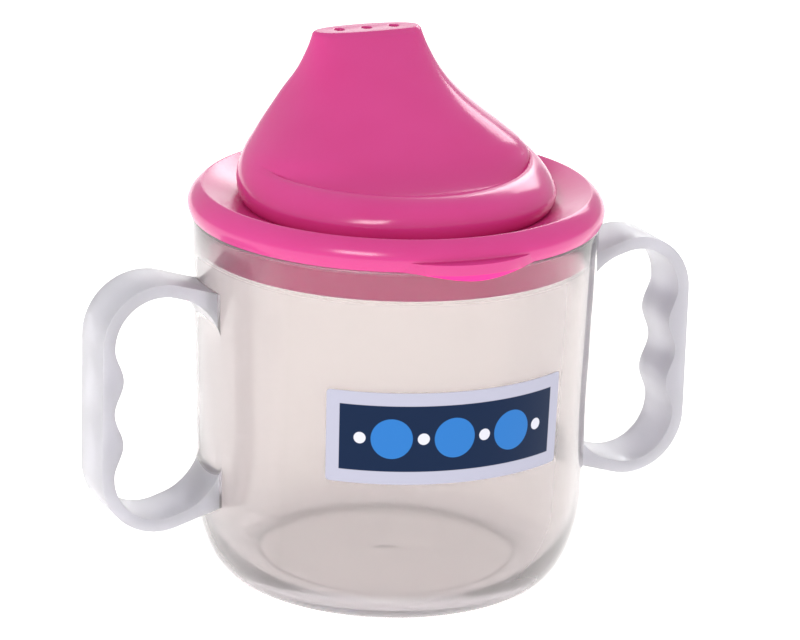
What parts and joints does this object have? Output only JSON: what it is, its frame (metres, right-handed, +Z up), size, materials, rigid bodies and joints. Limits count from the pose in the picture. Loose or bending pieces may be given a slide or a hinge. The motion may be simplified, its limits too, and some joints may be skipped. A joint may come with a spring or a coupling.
{
  "type": "sippy cup",
  "caption": "Translucent toddler cup with two finger-grip handles and a pink push-on lid whose offset hood rises to a flat drinking spout with open holes.",
  "frame": {"origin": "centre of the foot ring's face, on the cup's axis", "axes": "+Z up along the cup's axis; the two handles lie along X; the pull tab and the label face -Y and the spout leans towards +Y"},
  "size_m": [0.126, 0.084, 0.1066],
  "materials": {
    "clear_polypropylene": "natural translucent polypropylene, smooth moulded gloss with a faint milky haze",
    "pink_polypropylene": "solid pink polypropylene, polished mould gloss",
    "label_film": "printed in-mould film, satin, pale ground with navy and blue print"
  },
  "bodies": {
    "cup": {"cup_body": "clear_polypropylene", "left_handle": "clear_polypropylene", "right_handle": "clear_polypropylene", "printed_label": "label_film"},
    "lid": {"lid": "pink_polypropylene"}
  },
  "joints": [
    {"name": "lid_lift", "type": "slide", "parent": "cup", "child": "lid", "axis": [0, 0, 1], "range_m": [0, 0.05]}
  ]
}
